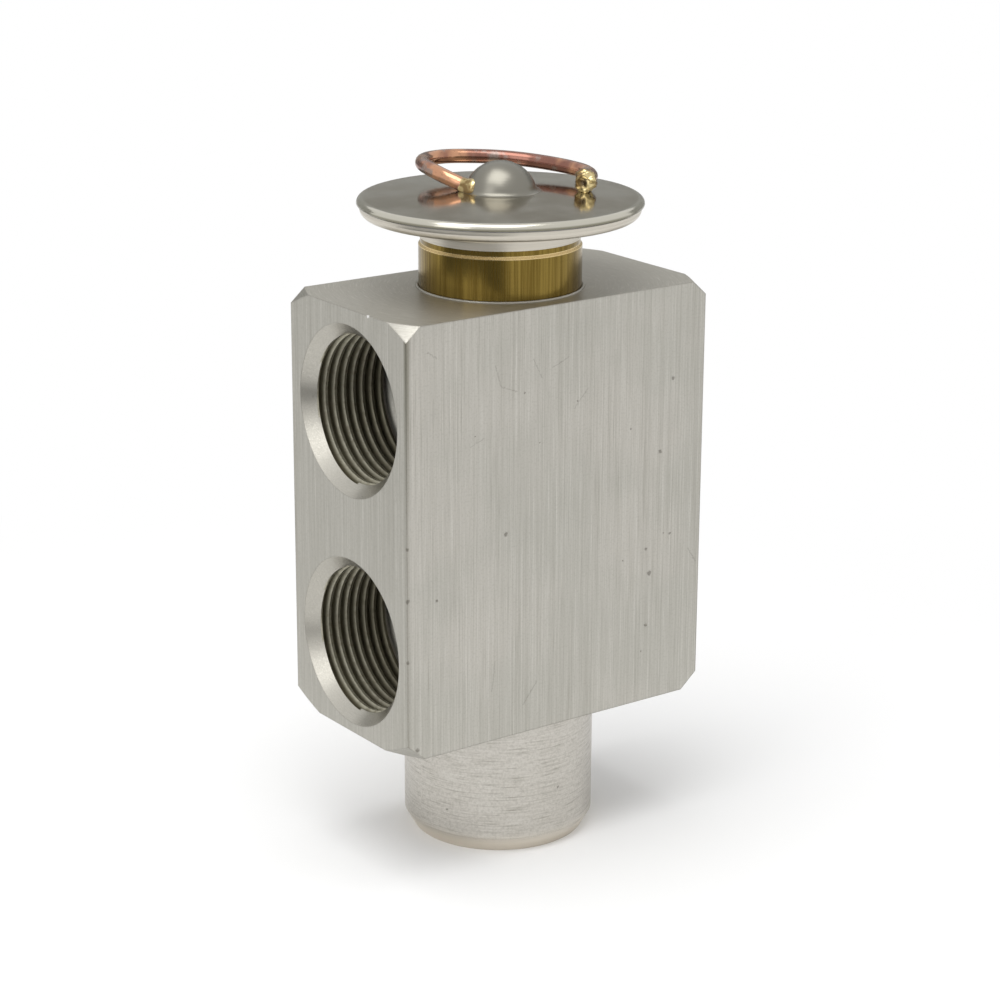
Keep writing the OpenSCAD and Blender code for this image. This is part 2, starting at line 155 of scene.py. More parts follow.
def blend_colour(tree, factor, first, second):
    """The colour that lies factor of the way from first to second, each a tuple or a socket."""
    node = tree.nodes.new("ShaderNodeMix")
    node.data_type = "RGBA"
    return feed(tree, node, {"_0": factor, "_6": first, "_7": second}).outputs[2]


def place_on(tree):
    """The point on the piece, in metres."""
    return put(tree, "ShaderNodeTexCoord").outputs["Object"]


def place_in_mm(tree):
    """The point on the piece, in millimetres."""
    return put(tree, "ShaderNodeVectorMath", "SCALE", _0=place_on(tree), Scale=1 / MM).outputs[0]


def cloudy(tree, place, scale, detail):
    """Soft noise of about 0.3 to 0.7, with scale patches to one unit of place."""
    return put(tree, "ShaderNodeTexNoise", Vector=place, Scale=scale, Detail=detail).outputs[0]


# %% [markdown]
# Metal shows little of its own colour and a lot of the room. The room here is white, with one
# wide lamp above and a softer one at the left, as in a light tent. The world is white to the
# camera and to reflections, and a little dimmer as a light, so that the pale floor keeps a
# soft shadow under the valve.

# %% Studio
WHITE = (1, 1, 1, 1)
ROOM_LIGHT = 0.75
AIM = (0, 0, 0.05)


def shown_rays(tree):
    """1 for what the camera, a reflection or a look through glass shows, 0 for plain light."""
    path = put(tree, "ShaderNodeLightPath")
    seen = maths(tree, "MAXIMUM", path.outputs["Is Camera Ray"], path.outputs["Is Glossy Ray"])
    return maths(tree, "MAXIMUM", seen, path.outputs["Is Transmission Ray"])


def area_lamp(name, place, width, height, power):
    """A soft rectangular lamp at place (m), facing the valve, that the camera doesn't see."""
    data = bpy.data.lights.new(name, "AREA")
    data.shape = "RECTANGLE"
    data.size = width
    data.size_y = height
    data.energy = power
    lamp = add_object(name, data)
    lamp.location = place
    lamp.rotation_euler = (Vector(AIM) - Vector(place)).to_track_quat("-Z", "Y").to_euler()
    lamp.visible_camera = False


world = bpy.data.worlds.new("light_tent")
bpy.context.scene.world = world
world.use_nodes = True
t = world.node_tree
t.nodes.clear()
lit = put(t, "ShaderNodeBackground", Color=WHITE, Strength=ROOM_LIGHT)
backdrop = put(t, "ShaderNodeBackground", Color=WHITE, Strength=1.0)
either = put(t, "ShaderNodeMixShader", Fac=shown_rays(t), _1=lit.outputs[0], _2=backdrop.outputs[0])
put(t, "ShaderNodeOutputWorld", Surface=either.outputs[0])
area_lamp("overhead_softbox", (-0.12, -0.05, 0.6), 0.45, 0.45, 1.9)
area_lamp("left_softbox", (-0.55, -0.15, 0.35), 0.3, 0.4, 0.45)
bpy.context.scene.view_settings.view_transform = "Standard"

# %% [markdown]
# The floor is one wide sheet of pale card. A disc from create_circle is enough, because its
# edge lies far outside the picture. Near the valve the card is a plain diffuse surface that
# takes the shadow. Further off it fades to the white of the room, for the camera and for
# reflections only, so no horizon shows and no light is added.

# %% Floor
FLOOR_RADIUS = 3.0
FLOOR_GREY = (0.93, 0.93, 0.93, 1)
FADE_START = 0.03
FADE_END = 0.17


def matt_card(name, colour):
    """A material of dull card."""
    material = bpy.data.materials.new(name)
    material.use_nodes = True
    shader = material.node_tree.nodes["Principled BSDF"]
    shader.inputs["Base Color"].default_value = colour
    shader.inputs["Roughness"].default_value = 0.9
    return material


def studio_piece(name, bm, material):
    """Turns a bmesh into a piece of the studio, which isn't part of the valve."""
    mesh = bpy.data.meshes.new(name)
    bm.to_mesh(mesh)
    bm.free()
    mesh.materials.append(material)
    piece = add_object(name, mesh)
    return piece


pale_card = matt_card("pale_card", FLOOR_GREY)
t = pale_card.node_tree
far = vectors(t, "LENGTH", place_on(t))
white = maths(t, "MULTIPLY", shown_rays(t), ramp(t, far, FADE_START, FADE_END))
glow = put(t, "ShaderNodeEmission")
faded = put(t, "ShaderNodeMixShader", Fac=white, _1=t.nodes["Principled BSDF"].outputs[0],
            _2=glow.outputs[0])
t.links.new(faded.outputs[0], t.nodes["Material Output"].inputs["Surface"])

bm = bmesh.new()
bmesh.ops.create_circle(bm, cap_ends=True, segments=64, radius=FLOOR_RADIUS)
studio_piece("studio_floor", bm, pale_card)
print("Floor:", 2 * FLOOR_RADIUS, "m wide")

# %% [markdown]
# Two cards that the camera doesn't see give the bright metal something to mirror, as a
# photographer would place them. A grey one stands behind the valve and tones down its top.
# A black one lies on the table at the front left and darkens the middle of the brass. Each
# is one line, spun about the valve's axis. The black one starts where the floor has faded to
# white, so that its shadow doesn't show.

# %% Reflection cards
GREY_LINE = [(0.7, 0, 0.0), (0.8, 0, 0.42)]
BLACK_LINE = [(0.175, 0, 0.001), (0.6, 0, 0.001)]


def reflection_card(name, line, first, last, shade):
    """Spins a line of two points in the XZ plane from one azimuth to another, in degrees."""
    bm = bmesh.new()
    ends = [bm.verts.new(p) for p in line]
    edge = bm.edges.new(ends)
    turn = Matrix.Rotation(math.radians(first), 3, "Z")
    bmesh.ops.rotate(bm, verts=ends, cent=(0, 0, 0), matrix=turn)
    bmesh.ops.spin(bm, geom=ends + [edge], cent=(0, 0, 0), axis=(0, 0, 1),
                   angle=math.radians(last - first), steps=24)
    finish = matt_card(name, (shade, shade, shade * 0.95, 1))
    sheet = studio_piece(name, bm, finish)
    sheet.visible_camera = False
    print(name, len(sheet.data.polygons), "faces")


reflection_card("grey_card", GREY_LINE, 0, 112, 0.42)
reflection_card("black_card", BLACK_LINE, 146, 241, 0.02)

# %% [markdown]
# Several finishes share the same effects: fine lines that a die or a lathe leaves, rubbed
# edges, and scattered pits. Each effect is a node group with named inputs, so that every
# metal sets its own scale and strength. One helper makes an empty group with its sockets,
# and the other places a group in a material.

# %% Shared groups
def new_group(name, inputs, **outputs):
    """A shader node group. inputs is {name: default}; each output is a Float or a Vector."""
    group = bpy.data.node_groups.new(name, "ShaderNodeTree")
    for label, value in inputs.items():
        kind = "NodeSocketFloat" if isinstance(value, (int, float)) else "NodeSocketVector"
        socket = group.interface.new_socket(label, in_out="INPUT", socket_type=kind)
        socket.default_value = value
    for label, kind in outputs.items():
        group.interface.new_socket(label, in_out="OUTPUT", socket_type="NodeSocket" + kind)
    return group, group.nodes.new("NodeGroupInput").outputs, group.nodes.new("NodeGroupOutput").inputs


def use_group(tree, group, **inputs):
    """Places one of the shared groups in a material."""
    node = tree.nodes.new("ShaderNodeGroup")
    node.node_tree = group
    return feed(tree, node, inputs).outputs


# %% [markdown]
# Drawn and turned metal is covered with fine lines. Noise that is stretched a hundred times
# along one direction gives lines of uneven width and length. The group stretches object
# coordinates, in millimetres, by three factors, and adds a coarse and a fine set of lines.

# %% Fine lines
lines_group, given, result = new_group(
    "fine_lines", {"Stretch": (6.0, 6.0, 0.05), "Fine": 0.5}, Lines="Float"
)
t = lines_group
drawn = vectors(t, "MULTIPLY", place_in_mm(t), given["Stretch"])
coarse = cloudy(t, drawn, 0.35, 2.0)
fine = put(t, "ShaderNodeTexNoise", Vector=drawn, Scale=1.6, Detail=3.0, Roughness=0.6).outputs[0]
t.links.new(between(t, given["Fine"], coarse, fine), result["Lines"])

# %% [markdown]
# A lathe cuts rings about the valve's axis. The group turns a point into its radius and its
# height, stretches both, and reads noise there: rings on a flat face, and rings one above
# the other on a cylinder. The angle is the noise's third direction and breaks the rings up.

# %% Turning marks
def off_axis(tree, xyz):
    """The distance from the valve's axis, from a Separate XYZ node."""
    return vectors(tree, "LENGTH", put(tree, "ShaderNodeCombineXYZ", X=xyz["X"], Y=xyz["Y"]).outputs[0])


turned_group, given, result = new_group(
    "turning_marks", {"Per mm": 4.0, "Break up": 0.15}, Rings="Float"
)
t = turned_group
xyz = put(t, "ShaderNodeSeparateXYZ", Vector=place_in_mm(t)).outputs
angle = maths(t, "ARCTAN2", xyz["Y"], xyz["X"])
ringed = put(t, "ShaderNodeCombineXYZ", X=maths(t, "MULTIPLY", off_axis(t, xyz), given["Per mm"]),
             Y=maths(t, "MULTIPLY", angle, given["Break up"]),
             Z=maths(t, "MULTIPLY", xyz["Z"], given["Per mm"])).outputs[0]
rings = put(t, "ShaderNodeTexNoise", Vector=ringed, Scale=1.0, Detail=3.0, Roughness=0.65).outputs[0]
t.links.new(rings, result["Rings"])

# %% [markdown]
# Handling rounds the sharp edges of a part. Cycles' Bevel node gives the normal that a
# rounded edge would have. Where it departs from the face's own normal, there is an edge, so
# the same group gives both the rounded normal and a mask, with which the block darkens its
# dulled edges.

# %% Worn edges
edge_group, given, result = new_group("worn_edges", {"Round": 0.00015}, Edge="Float", Normal="Vector")
t = edge_group
rounded = put(t, "ShaderNodeBevel", Radius=given["Round"])
rounded.samples = 3
face = put(t, "ShaderNodeNewGeometry").outputs["Normal"]
agree = vectors(t, "DOT_PRODUCT", rounded.outputs[0], face)
t.links.new(ramp(t, agree, 0.995, 0.90), result["Edge"])
t.links.new(rounded.outputs[0], result["Normal"])

# %% [markdown]
# Small pits are scattered over bare metal. Voronoi cells give points at even random places,
# and the cell's own random colour drops most of them, so a few are left, each of its own
# size.

# %% Scattered pits
pit_group, given, result = new_group(
    "scattered_pits", {"Per mm": 0.5, "Share": 0.2, "Size": 0.12}, Pits="Float"
)
t = pit_group
cells = put(t, "ShaderNodeTexVoronoi", Vector=place_in_mm(t), Scale=given["Per mm"]).outputs
chance = put(t, "ShaderNodeSeparateColor", Color=cells["Color"]).outputs
kept = maths(t, "LESS_THAN", chance[0], given["Share"])
wide = maths(t, "MULTIPLY", chance[1], given["Size"])
inside = maths(t, "LESS_THAN", cells["Distance"], wide)
t.links.new(maths(t, "MULTIPLY", inside, kept), result["Pits"])

# %% [markdown]
# The block's own knocks and scratches sit where the real one has them, so they need places
# and not noise. A pit is darkest at its centre. A scratch runs from A to B: its group finds
# the nearest point of that line, and darkens by the distance to it. Both work in millimetres
# on a place that a little noise has shaken, so that no mark comes out as a perfect disc.

# %% Pits and scratches
NOWHERE = (0.0, 0.0, 0.0)
dot_group, given, result = new_group(
    "pit_mark", {"Place": NOWHERE, "Centre": NOWHERE, "Size": 0.3}, Mark="Float"
)
t = dot_group
apart = vectors(t, "DISTANCE", given["Place"], given["Centre"])
t.links.new(ramp(t, maths(t, "DIVIDE", apart, given["Size"]), 1.0, 0.4), result["Mark"])

scratch_group, given, result = new_group(
    "scratch_mark", {"Place": NOWHERE, "A": NOWHERE, "B": (1.0, 0.0, 0.0), "Width": 0.3}, Mark="Float"
)
t = scratch_group
from_a = vectors(t, "SUBTRACT", given["Place"], given["A"])
a_to_b = vectors(t, "SUBTRACT", given["B"], given["A"])
share = put(t, "ShaderNodeMath", "DIVIDE", _0=vectors(t, "DOT_PRODUCT", from_a, a_to_b),
            _1=vectors(t, "DOT_PRODUCT", a_to_b, a_to_b))
share.use_clamp = True
nearest = put(t, "ShaderNodeVectorMath", "SCALE", _0=a_to_b, Scale=share.outputs[0]).outputs[0]
apart = vectors(t, "DISTANCE", from_a, nearest)
t.links.new(ramp(t, maths(t, "DIVIDE", apart, given["Width"]), 1.0, 0.3), result["Mark"])
print("Shared groups:", len(bpy.data.node_groups))

# %% [markdown]
# Every metal starts from the same material: a Principled shader that is metallic, to which
# its colour, its roughness and its normal are then joined. A CAD node takes its finish
# through its object's material slots, so that its mesh stays as it is.

# %% Metals
def new_metal(name, roughness, metallic=1.0):
    """A material with its Principled shader, ready for its colour and normal."""
    material = bpy.data.materials.new(name)
    material.use_nodes = True
    shader = material.node_tree.nodes["Principled BSDF"]
    shader.inputs["Metallic"].default_value = metallic
    shader.inputs["Roughness"].default_value = roughness
    return material, material.node_tree, shader


def raised(tree, height, strength, depth, normal=None, sunken=False):
    """The normal of a surface that height pushes out, or in if sunken, by depth in metres."""
    node = put(tree, "ShaderNodeBump", Height=height, Strength=strength, Distance=depth)
    node.invert = sunken
    if normal is not None:
        tree.links.new(normal, node.inputs["Normal"])
    return node.outputs[0]


def dress(material, *names):
    """Gives CAD nodes their finish."""
    for name in names:
        for place in nodes[name].material_slots:
            place.link = "OBJECT"
            place.material = material


def dressed():
    """How many CAD nodes have their finish."""
    return sum(node.material_slots[0].link == "OBJECT" for node in nodes.values())


# %% [markdown]
# The block is cut from drawn bar, so its four sides carry fine upright lines, while its top,
# its corners and the spigot were turned and carry rings. The material tells them apart by
# the object normal and the height, and mixes lines and rings with those two masks. Slow
# clouds make the grey a little warmer here and greener there, and the marks of handling,
# in millimetres on the front face, darken it and dent it.

# %% Block aluminium
GREY = (0.500, 0.480, 0.435, 1)
GREEN_GREY = (0.455, 0.442, 0.398, 1)
SHADED = (0.425, 0.412, 0.368, 1)
PALE = (0.630, 0.615, 0.570, 1)
DULL = (0.300, 0.285, 0.245, 1)
SPIGOT_TURNED_AND_LIT = (0.560, 0.535, 0.490, 1)
FACED = (0.400, 0.382, 0.335, 1)
FLOOR_REFLECTION_BEIGE = (0.705, 0.655, 0.575, 1)
SOILED = (0.120, 0.110, 0.090, 1)
OLIVE = (0.090, 0.085, 0.045, 1)
BRIGHT = (0.950, 0.940, 0.920, 1)
FRONT_Y = block_low[1] / MM
LEFT_X = block_low[0] / MM
TOP_Z = block_high[2] / MM
SPIGOT_TOP = 19.0 * MM
CHAMFER_FADE = (1.0 * MM, 3.4 * MM)
EDGE_ROUND = 0.3 * MM
CORNER_FADE = (38.15 * MM, 38.90 * MM)
CORNER_HEIGHTS = (50.0 * MM, 77.0 * MM)
SHAKE = 0.5
FRONT_PITS = [(-20.3, 41.2, 0.30), (-14.1, 62.9, 0.18), (-9.0, 48.4, 0.42), (-6.0, 67.7, 0.20),
              (-3.4, 60.3, 0.16), (2.9, 65.1, 0.22), (12.2, 59.7, 0.20), (19.5, 65.8, 0.38),
              (17.5, 55.6, 0.40), (15.3, 41.7, 0.34), (16.0, 38.0, 0.50), (18.4, 43.5, 0.24),
              (19.6, 43.2, 0.26), (11.2, 40.7, 0.22), (15.5, 30.3, 0.34), (14.8, 26.5, 0.22),
              (-23.5, 20.5, 0.45), (LEFT_X, 49.2, 0.40), (LEFT_X, 42.0, 0.45), (LEFT_X, 33.4, 0.35)]
SPIGOT_PITS = [(-12.5, -5.1, 5.9, 0.25), (0.7, -13.5, 9.0, 0.22)]
SCRATCHES = [(-10.7, 30.5, -11.2, 26.3, 0.13), (-3.5, 26.2, -5.9, 23.1, 0.13),
             (23.0, 40.3, 24.4, 38.2, 0.16), (-21.6, 75.4, -20.2, 74.4, 0.15),
             (-10.8, 72.0, -9.9, 69.0, 0.14), (-9.9, 69.0, -7.2, 68.0, 0.14),
             (-4.6, 72.0, -3.2, 69.4, 0.13), (-1.4, 70.4, 1.6, 71.6, 0.12),
             (2.4, 64.2, 4.6, 66.6, 0.14), (-14.8, 61.6, -12.6, 62.4, 0.12)]
SCRATCH_DEPTH = 0.4
NICK = (LEFT_X, -5.2, TOP_Z)
NICK_SIZE = 0.42


def by_mask(tree, mask, off, on):
    """off where the mask is 0 and on where it is 1."""
    return ramp(tree, mask, 0.0, 1.0, off, on)


block_metal, t, shader = new_metal("block_aluminium", 0.38)
coords = put(t, "ShaderNodeTexCoord").outputs
xyz = put(t, "ShaderNodeSeparateXYZ", Vector=coords["Object"]).outputs
facing = put(t, "ShaderNodeSeparateXYZ", Vector=coords["Normal"]).outputs
upwards = maths(t, "ABSOLUTE", facing["Z"])
on_top = ramp(t, upwards, 0.4, 0.6)
on_flat = ramp(t, upwards, 0.85, 0.95)
on_spigot = ramp(t, xyz["Z"], SPIGOT_TOP + 0.05 * MM, SPIGOT_TOP - 0.05 * MM)
turned = maths(t, "MAXIMUM", on_top, on_spigot)
lines = use_group(t, lines_group, Stretch=(13.0, 13.0, 0.09), Fine=0.6)["Lines"]
rings = use_group(t, turned_group, Per_mm=by_mask(t, on_spigot, 6.0, 4.6),
                  Break_up=by_mask(t, on_spigot, 6.0, 2.8))["Rings"]
soft_rings = between(t, by_mask(t, on_spigot, 0.35, 0.14), rings, 0.5)
marks = between(t, turned, lines, soft_rings)
clouds = cloudy(t, coords["Object"], 55.0, 3.0)
speckle = cloudy(t, coords["Object"], 3500.0, 1.0)
edges = use_group(t, edge_group, Round=EDGE_ROUND)
scored = use_group(t, pit_group, Per_mm=0.7, Share=0.05, Size=0.12)["Pits"]

in_mm = place_in_mm(t)
wobble = put(t, "ShaderNodeTexNoise", Vector=in_mm, Scale=2.5, Detail=2.0).outputs
shaken = vectors(t, "MULTIPLY_ADD", wobble["Color"], (SHAKE, SHAKE, SHAKE), in_mm)
place = vectors(t, "SUBTRACT", shaken, (SHAKE / 2, SHAKE / 2, SHAKE / 2))
for x, y, z, size in [(x, FRONT_Y, z, size) for x, z, size in FRONT_PITS] + SPIGOT_PITS:
    pit = use_group(t, dot_group, Place=place, Centre=(x, y, z), Size=size)["Mark"]
    scored = maths(t, "MAXIMUM", scored, pit)
for x0, z0, x1, z1, width in SCRATCHES:
    scratch = use_group(t, scratch_group, Place=place, A=(x0, FRONT_Y, z0), B=(x1, FRONT_Y, z1), Width=width)
    scored = maths(t, "MAXIMUM", scored, maths(t, "MULTIPLY", scratch["Mark"], SCRATCH_DEPTH))
print("Marks on the block:", len(FRONT_PITS) + len(SPIGOT_PITS) + len(SCRATCHES))

# %% [markdown]
# The colour is laid on in layers, from the bar's own grey to the dirt: the left side in painted
# shade, the faced top, the spigot, painted paler for its turned finish and also as painted light
# from the bright floor it mirrors, a painted reflection of that floor on the spigot's chamfer,
# the light and dark of the lines, a fine grain, the dulled edges, the pits, a dark olive line
# down the front left corner that is strongest at the top, and one bright nick on the top edge.

# %% Block's colour
grain = maths(t, "MULTIPLY", ramp(t, speckle, 0.48, 0.70), by_mask(t, on_spigot, 0.20, 0.22))
cast = maths(t, "MULTIPLY", ramp(t, wobble["Fac"], 0.44, 0.66), by_mask(t, on_spigot, 0.0, 0.22))
to_corner = ramp(t, maths(t, "ADD", xyz["X"], xyz["Y"]), -CORNER_FADE[0], -CORNER_FADE[1])
# A dark olive line down the front left corner, strongest at the top.
corner_line = maths(t, "MULTIPLY", to_corner, ramp(t, xyz["Z"], *CORNER_HEIGHTS, 0.18, 0.60))
corner_line = maths(t, "MULTIPLY", corner_line, ramp(t, upwards, 0.3, 0.2))
nick = use_group(t, dot_group, Place=place, Centre=NICK, Size=NICK_SIZE)["Mark"]
colour = blend_colour(t, ramp(t, clouds, 0.38, 0.62), GREEN_GREY, GREY)
layers = (
    (ramp(t, facing["X"], -0.3, -0.8), SHADED),
    (on_flat, FACED),
    # Painted light in part: the spigot is paler for its turned finish, and also as light from the bright
    # floor.
    (on_spigot, SPIGOT_TURNED_AND_LIT),
    (ramp(t, marks, 0.50, 0.70, 0.0, 0.7), PALE),
    (ramp(t, marks, 0.50, 0.30, 0.0, 0.7), DULL),
    (grain, DULL),
    (cast, DULL),
    # Painted reflection: the foot's chamfer is painted pale beige for the bright floor it mirrors.
    (ramp(t, xyz["Z"], CHAMFER_FADE[1], CHAMFER_FADE[0]), FLOOR_REFLECTION_BEIGE),
    (maths(t, "MULTIPLY", edges["Edge"], 0.5), DULL),
    (maths(t, "MULTIPLY", scored, 0.6), SOILED),
    (corner_line, OLIVE),
    (nick, BRIGHT),
)
for layer, paint in layers:
    colour = blend_colour(t, layer, colour, paint)
satin = ramp(t, marks, 0.3, 0.7, 0.42, 0.33)
lined = raised(t, marks, 0.2, 0.015 * MM, normal=edges["Normal"])
dented = raised(t, scored, 0.6, 0.08 * MM, normal=lined, sunken=True)
feed(t, shader, {"Base Color": colour, "Roughness": between(t, on_flat, satin, 0.36),
                 "Metallic": by_mask(t, on_flat, 1.0, 0.6), "Normal": dented})
dress(block_metal, "valve_body")
print("Nodes in the block's metal:", len(t.nodes))

# %% [markdown]
# The hidden steel parts are stainless and turned, the sensing rod is turned aluminium, and
# the lower cover is pressed from bright sheet, with faint rings from its die. The same recipe
# serves them all with other numbers, so it is a function.

# %% Plain turned metals
def turned_metal(name, colour, dark, roughness, per_mm=6.0, depth=0.005 * MM, share=0.05):
    """A turned or pressed metal with fine rings and a few pits."""
    material, t, shader = new_metal(name, roughness)
    rings = use_group(t, turned_group, Per_mm=per_mm, Break_up=0.6)["Rings"]
    pits = use_group(t, pit_group, Per_mm=0.9, Share=share, Size=0.15)["Pits"]
    mixed = blend_colour(t, ramp(t, rings, 0.3, 0.7), dark, colour)
    mixed = blend_colour(t, maths(t, "MULTIPLY", pits, 0.5), mixed, dark)
    rubbed = ramp(t, rings, 0.25, 0.75, roughness * 1.2, roughness * 0.85)
    feed(t, shader, {"Base Color": mixed, "Roughness": rubbed, "Normal": raised(t, rings, 0.3, depth)})
    return material


inner_steel = turned_metal("inner_steel", (0.52, 0.52, 0.53, 1), (0.38, 0.38, 0.39, 1), 0.3)
dress(inner_steel, "seat_ring", "valve_ball", "ball_carrier", "damping_spring", "superheat_spring",
      "spring_seat", "push_pin", "seal_retainer", "diaphragm", "thrust_plate")
dress(turned_metal("screw_steel", (0.50, 0.49, 0.46, 1), (0.33, 0.32, 0.30, 1), 0.36), "adjusting_screw")
dress(turned_metal("rod_aluminium", (0.62, 0.62, 0.60, 1), (0.50, 0.50, 0.48, 1), 0.3), "sensing_rod")
dress(turned_metal("lower_cover_steel", (0.65, 0.61, 0.53, 1), (0.56, 0.525, 0.455, 1), 0.36,
                   per_mm=5.0, depth=0.003 * MM, share=0.02), "lower_cover")
print("Dressed so far:", dressed(), "of", len(nodes))

# %% [markdown]
# The brass collar was turned. Upright bands of darker and lighter brass run down its side as
# painted reflections of the room. They are the block's fine lines with other numbers. A narrow
# bevel near its top carries a painted highlight.

# %% Brass collar
BRASS_DARK = (0.148, 0.098, 0.021, 1)
BRASS = (0.255, 0.178, 0.044, 1)
BRASS_RINGS = (0.120, 0.080, 0.018, 1)
BEVEL_GLINT_GOLD = (0.950, 0.740, 0.400, 1)
BEVEL_LOW = 84.75 * MM
BEVEL_HIGH = 85.15 * MM

brass, t, shader = new_metal("collar_brass", 0.24)
tone_noise = use_group(t, lines_group, Stretch=(6.0, 6.0, 0.08), Fine=0.5)["Lines"]
rings = use_group(t, turned_group, Per_mm=5.0, Break_up=0.6)["Rings"]
height = put(t, "ShaderNodeSeparateXYZ", Vector=place_on(t)).outputs["Z"]
bevel = maths(t, "MULTIPLY", ramp(t, height, BEVEL_LOW - 0.05 * MM, BEVEL_LOW + 0.05 * MM),
              ramp(t, height, BEVEL_HIGH + 0.05 * MM, BEVEL_HIGH - 0.05 * MM))
# Painted reflection: upright bands of dark and light brass stand in for the room mirrored in the collar.
colour = blend_colour(t, ramp(t, tone_noise, 0.36, 0.64), BRASS_DARK, BRASS)
colour = blend_colour(t, ramp(t, rings, 0.55, 0.75, 0.0, 0.4), colour, BRASS_RINGS)
# Painted highlight: the bevel's narrow band is painted pale gold.
colour = blend_colour(t, bevel, colour, BEVEL_GLINT_GOLD)
feed(t, shader, {"Base Color": colour, "Roughness": ramp(t, tone_noise, 0.35, 0.65, 0.30, 0.20),
                 "Normal": raised(t, rings, 0.2, 0.003 * MM)})
dress(brass, "brass_collar")

# %% [markdown]
# The upper cover has three finishes. Its plate was polished and mirrors the tube above it,
# the dome in the middle kept the press's satin and is painted darker as painted shade, and the
# rolled rim is painted bright as a painted highlight, with a line of painted shade below where
# it meets the lower cover. The distance from the valve's axis tells them apart, and the height
# finds the line.

# %% Upper cover
PLATE_WARM = (0.365, 0.325, 0.255, 1)
PLATE_PALE = (0.500, 0.475, 0.410, 1)
DOME_SHADE_GREY = (0.215, 0.206, 0.176, 1)
RIM_HIGHLIGHT = (0.530, 0.510, 0.440, 1)
SEAM_SHADE = (0.130, 0.120, 0.075, 1)
DOME_EDGE = (5.2 * MM, 5.8 * MM)
RIM_EDGE = (18.5 * MM, 18.9 * MM)
SEAM_HEIGHTS = (90.45 * MM, 90.75 * MM)

cover_metal, t, shader = new_metal("upper_cover_steel", 0.1)
place = place_on(t)
xyz = put(t, "ShaderNodeSeparateXYZ", Vector=place).outputs
out = off_axis(t, xyz)
on_dome = ramp(t, out, DOME_EDGE[1], DOME_EDGE[0])
on_rim = ramp(t, out, *RIM_EDGE)
seam_shade = maths(t, "MULTIPLY", ramp(t, xyz["Z"], SEAM_HEIGHTS[1], SEAM_HEIGHTS[0]), 0.75)
tone_noise = cloudy(t, place, 120.0, 4.0)
colour = blend_colour(t, ramp(t, tone_noise, 0.35, 0.65), PLATE_WARM, PLATE_PALE)
# Painted light: the dome's dark grey is painted shade, the rim's pale colour a painted highlight, and the
# band above the seam painted shade.
for layer, paint in ((on_dome, DOME_SHADE_GREY), (on_rim, RIM_HIGHLIGHT), (seam_shade, SEAM_SHADE)):
    colour = blend_colour(t, layer, colour, paint)
polish = between(t, on_dome, ramp(t, tone_noise, 0.3, 0.7, 0.10, 0.15), 0.33)
polish = between(t, on_rim, polish, 0.15)
pressed = raised(t, cloudy(t, place, 2600.0, 2.0), 0.15, 0.006 * MM)
feed(t, shader, {"Base Color": colour, "Roughness": polish, "Normal": pressed})
dress(cover_metal, "upper_cover")

# %% [markdown]
# The seals are moulded rubber: dark, dull, and slightly mottled.

# %% Seal rubber
rubber, t, shader = new_metal("seal_rubber", 0.6, metallic=0.0)
mottle = cloudy(t, place_on(t), 1500.0, 3.0)
feed(t, shader, {"Base Color": blend_colour(t, mottle, (0.012, 0.012, 0.012, 1), (0.03, 0.03, 0.028, 1))})
dress(rubber, "screw_seal", "rod_seal", "collar_seal")
print("Dressed, without the tube and its filler metal:", dressed())

# %% [markdown]
# The CAD ports have the thread's outer diameter and no thread. A real thread is a groove of
# 1.5 mm pitch. Its profile, closed by a straight back, is spun once about the port's axis
# while it moves on by one pitch: each ridge then meets the next one, which is just how a tap
# cuts. Two cuts square off the ends. Where the tap leaves the port, its points are moved to a
# smooth cone just inside the port's chamfer, so that the ridges run out in it.

# %% Port threads
PITCH = 1.5 * MM
CREST_END = 0.25
ROOT_START = 0.56
ROOT_END = 0.69
ROOT_R = 10.97 * MM
CREST_R = 10.2 * MM
BACK_R = 12.0 * MM
MOUTH_X = block_high[0]
MOUTH_R = 11.9 * MM
SKIN = 0.008 * MM
BACK_SKIN = 0.01 * MM
CONE_NEAR = 0.02 * MM
THREAD_START = 12.3 * MM
THREAD_END = 24.96 * MM
THREAD_STEPS = 96
TINY = 0.001 * MM
ON_CUT = 1e-7


def thread_radius(share):
    """Radius of the thread's groove at a share of one pitch: crest, flank, root, flank."""
    if share < CREST_END:
        return CREST_R
    if share < ROOT_START:
        return CREST_R + (ROOT_R - CREST_R) * (share - CREST_END) / (ROOT_START - CREST_END)
    if share < ROOT_END:
        return ROOT_R
    return ROOT_R - (ROOT_R - CREST_R) * (share - ROOT_END) / (1 - ROOT_END)


def mouth_radius(x):
    """Radius of a cone of 45 degrees, a hair inside the port's chamfer, at x."""
    return MOUTH_R - SKIN - (MOUTH_X - x)


def keep_one_side(bm, point, way):
    """Cuts the mesh at a point, drops what lies along way, and returns the cut's edges."""
    cut = bmesh.ops.bisect_plane(bm, geom=bm.verts[:] + bm.edges[:] + bm.faces[:], dist=ON_CUT,
                                 plane_co=point, plane_no=way, clear_outer=True)
    return [e for e in cut["geom_cut"] if isinstance(e, bmesh.types.BMEdge)]


